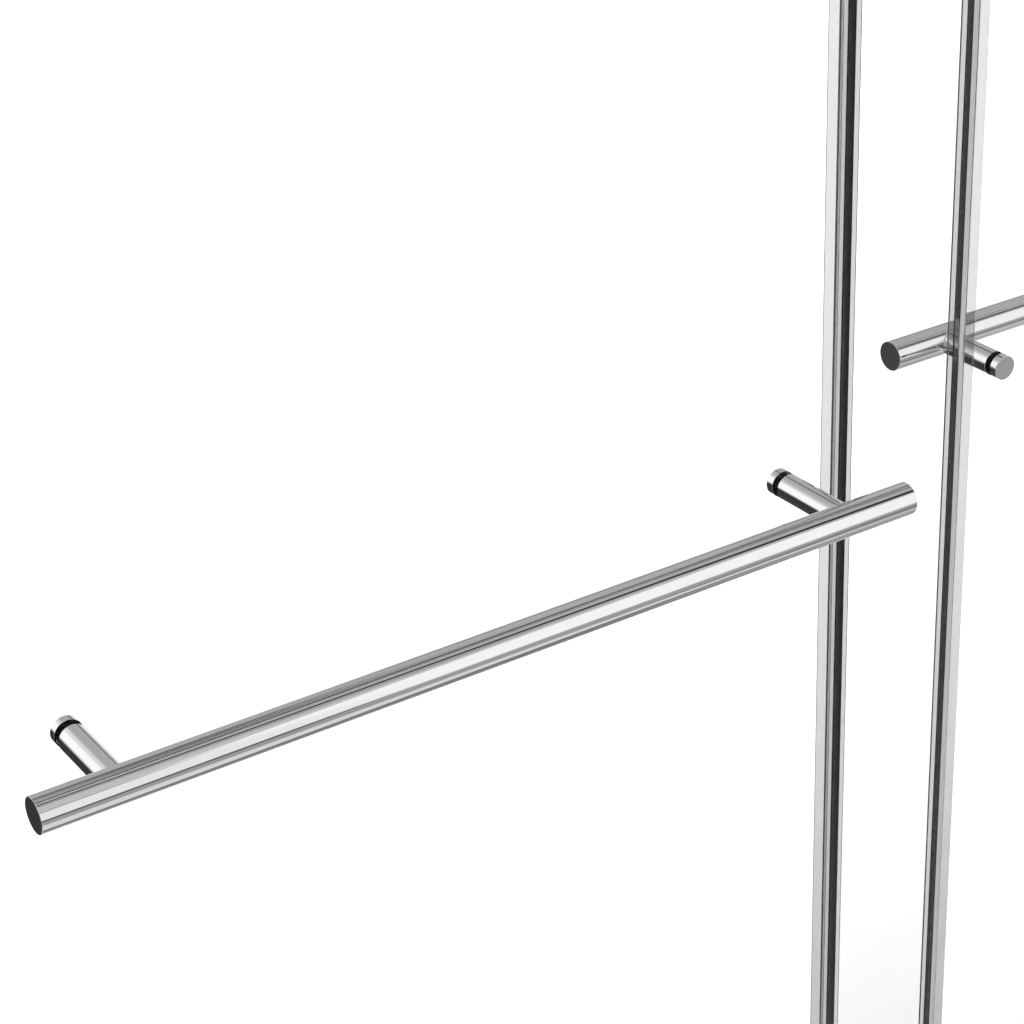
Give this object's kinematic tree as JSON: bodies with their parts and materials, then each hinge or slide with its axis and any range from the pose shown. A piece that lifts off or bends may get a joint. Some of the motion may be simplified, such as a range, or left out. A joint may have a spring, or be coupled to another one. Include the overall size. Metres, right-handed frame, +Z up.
{
  "type": "bypass sliding glass door",
  "caption": "Frameless bypass sliding shower door with clear glass panels, clear centre seals and a round chrome towel bar fixed through each panel.",
  "frame": {"origin": "middle of the sill's underside, midway between the two panels", "axes": "+X across the opening, +Y from the front panel's side to the rear panel's side, +Z up"},
  "size_m": [1.575, 0.206, 1.5],
  "materials": {
    "chrome": "polished",
    "bright_aluminium": "bright dipped and polished",
    "clear_glass": "clear, tempered",
    "clear_vinyl": "clear, glossy",
    "clear_nylon": "translucent",
    "black_rubber": "matt",
    "grey_rubber": "matt",
    "stainless": "brushed",
    "white_nylon": "matt",
    "grey_plastic": "moulded"
  },
  "bodies": {
    "frame": {"sill": "bright_aluminium", "header": "bright_aluminium", "jamb_left": "bright_aluminium", "jamb_right": "bright_aluminium", "header_bracket_left": "stainless", "header_bracket_right": "stainless", "header_bracket_screws": "stainless", "floor_guide": "grey_plastic", "floor_guide_screws": "stainless", "bumpers_left": "grey_rubber", "bumpers_right": "grey_rubber"},
    "front_panel": {"front_glass": "clear_glass", "front_centre_seal": "clear_vinyl", "front_bar_tube": "chrome", "front_bar_end_cap_left": "chrome", "front_bar_end_cap_right": "chrome", "front_standoff_left": "chrome", "front_standoff_right": "chrome", "front_gasket_left": "black_rubber", "front_gasket_right": "black_rubber", "front_back_cap_left": "chrome", "front_back_cap_right": "chrome", "front_cap_washers": "clear_nylon", "front_bar_studs": "stainless", "front_hanger_left": "stainless", "front_hanger_right": "stainless", "front_clamp_left": "stainless", "front_clamp_right": "stainless", "front_hanger_screws": "stainless", "front_hanger_sleeves": "clear_nylon", "front_axle_left": "stainless", "front_axle_right": "stainless"},
    "front_roller_left": {"front_roller_left": "white_nylon"},
    "front_roller_right": {"front_roller_right": "white_nylon"},
    "rear_panel": {"rear_glass": "clear_glass", "rear_centre_seal": "clear_vinyl", "rear_bar_tube": "chrome", "rear_bar_end_cap_left": "chrome", "rear_bar_end_cap_right": "chrome", "rear_standoff_left": "chrome", "rear_standoff_right": "chrome", "rear_gasket_left": "black_rubber", "rear_gasket_right": "black_rubber", "rear_back_cap_left": "chrome", "rear_back_cap_right": "chrome", "rear_cap_washers": "clear_nylon", "rear_bar_studs": "stainless", "rear_hanger_left": "stainless", "rear_hanger_right": "stainless", "rear_clamp_left": "stainless", "rear_clamp_right": "stainless", "rear_hanger_screws": "stainless", "rear_hanger_sleeves": "clear_nylon", "rear_axle_left": "stainless", "rear_axle_right": "stainless"},
    "rear_roller_left": {"rear_roller_left": "white_nylon"},
    "rear_roller_right": {"rear_roller_right": "white_nylon"}
  },
  "joints": [
    {"name": "front_panel_slide", "type": "slide", "parent": "frame", "child": "front_panel", "axis": [1, 0, 0], "range_m": [0, 0.73]},
    {"name": "front_roller_left_spin", "type": "hinge", "parent": "front_panel", "child": "front_roller_left", "pos_m": [-0.715, -0.043, 1.467], "axis": [0, 1, 0], "range_deg": [0, 3490]},
    {"name": "front_roller_right_spin", "type": "hinge", "parent": "front_panel", "child": "front_roller_right", "pos_m": [-0.031, -0.043, 1.467], "axis": [0, 1, 0], "range_deg": [0, 3490]},
    {"name": "rear_panel_slide", "type": "slide", "parent": "frame", "child": "rear_panel", "axis": [-1, 0, 0], "range_m": [0, 0.73]},
    {"name": "rear_roller_left_spin", "type": "hinge", "parent": "rear_panel", "child": "rear_roller_left", "pos_m": [0.715, 0.043, 1.467], "axis": [0, -1, 0], "range_deg": [0, 3490]},
    {"name": "rear_roller_right_spin", "type": "hinge", "parent": "rear_panel", "child": "rear_roller_right", "pos_m": [0.031, 0.043, 1.467], "axis": [0, -1, 0], "range_deg": [0, 3490]}
  ],
  "couplings": [
    {"joint": "front_roller_left_spin", "follows": "front_panel_slide", "rad_per_m": 83.333},
    {"joint": "front_roller_right_spin", "follows": "front_panel_slide", "rad_per_m": 83.333},
    {"joint": "rear_roller_left_spin", "follows": "rear_panel_slide", "rad_per_m": 83.333},
    {"joint": "rear_roller_right_spin", "follows": "rear_panel_slide", "rad_per_m": 83.333}
  ]
}
